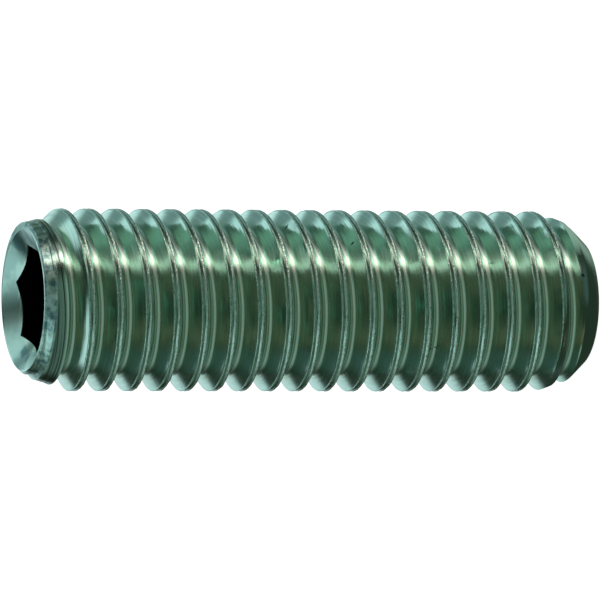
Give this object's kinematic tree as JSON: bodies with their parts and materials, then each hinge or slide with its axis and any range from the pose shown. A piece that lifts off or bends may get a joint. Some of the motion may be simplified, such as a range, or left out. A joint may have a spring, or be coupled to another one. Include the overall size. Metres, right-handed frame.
{
  "type": "hexagon socket set screw",
  "caption": "Headless metric set screw, threaded over its whole length, with a hexagon socket at one end and a flat chamfered point at the other.",
  "frame": {"origin": "centre of the flat point's face", "axes": "+Z along the screw's axis, out of the hexagon socket; +X is the side that faces up in the picture, and -Y the side that faces its camera"},
  "size_m": [0.005, 0.005, 0.016],
  "materials": {
    "steel": "satin stainless steel, as rolled and pickled, with fine streaks along the thread"
  },
  "bodies": {
    "root": {"grub_screw": "steel"}
  },
  "joints": []
}
